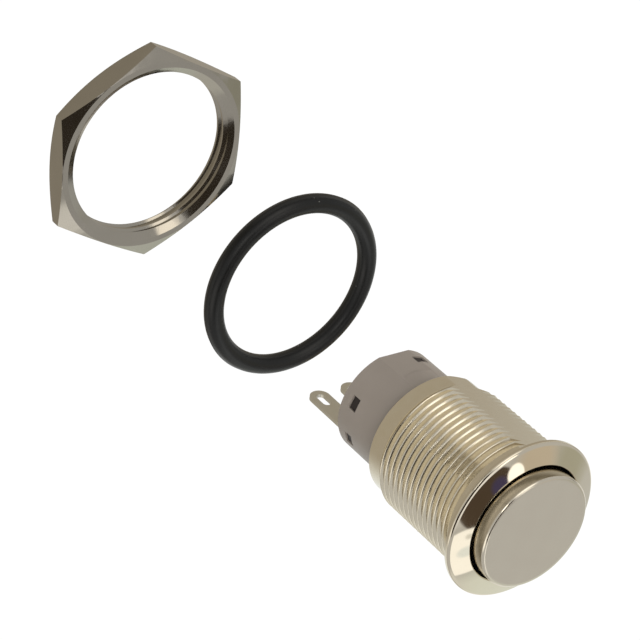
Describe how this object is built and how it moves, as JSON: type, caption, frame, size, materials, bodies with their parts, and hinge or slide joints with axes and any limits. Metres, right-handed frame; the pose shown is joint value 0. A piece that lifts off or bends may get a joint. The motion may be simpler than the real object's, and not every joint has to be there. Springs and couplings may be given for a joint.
{
  "type": "anti vandal push button",
  "caption": "Round metal push button for a panel hole, with a raised momentary cap, a bevelled flange, a threaded barrel, solder lugs, and its loose hexagon nut and rubber seal.",
  "frame": {"origin": "centre of the flange's rear face, on the switch's axis, where the panel seats", "axes": "+Z along the switch's axis out of the panel's front, -X towards the flat of the barrel"},
  "size_m": [0.0532, 0.0873, 0.0397],
  "materials": {
    "nickel_plate": "satin nickel plate",
    "rubber": "smooth",
    "white_plastic": "moulded",
    "spring_steel": "drawn wire",
    "grey_plastic": "satin moulded",
    "dark_plastic": "moulded",
    "resin": "poured",
    "tinned_brass": "tin plate",
    "contact_silver": "polished",
    "bronze": "rolled strip"
  },
  "bodies": {
    "switch": {"housing": "nickel_plate", "guide_bush": "white_plastic", "return_spring": "spring_steel", "block_gasket": "rubber", "contact_shell": "grey_plastic", "terminal_base": "dark_plastic", "sealing_resin": "resin", "terminal_common": "tinned_brass", "terminal_open": "tinned_brass", "terminal_closed": "tinned_brass", "fixed_contact_common": "contact_silver", "fixed_contact_open": "contact_silver", "fixed_contact_closed": "contact_silver", "hex_nut": "nickel_plate", "panel_seal": "rubber"},
    "button": {"button_cap": "nickel_plate", "cap_seal": "rubber", "plunger": "white_plastic", "retaining_clip": "spring_steel", "contact_carrier": "white_plastic", "contact_strip": "bronze", "strip_spring": "spring_steel"}
  },
  "joints": [
    {"name": "button_press", "type": "slide", "parent": "switch", "child": "button", "axis": [0, 0, -1], "range_m": [0, 0.0025], "stiffness_N_per_m": 1000, "springref_m": -0.002, "deforming": ["return_spring"]}
  ]
}
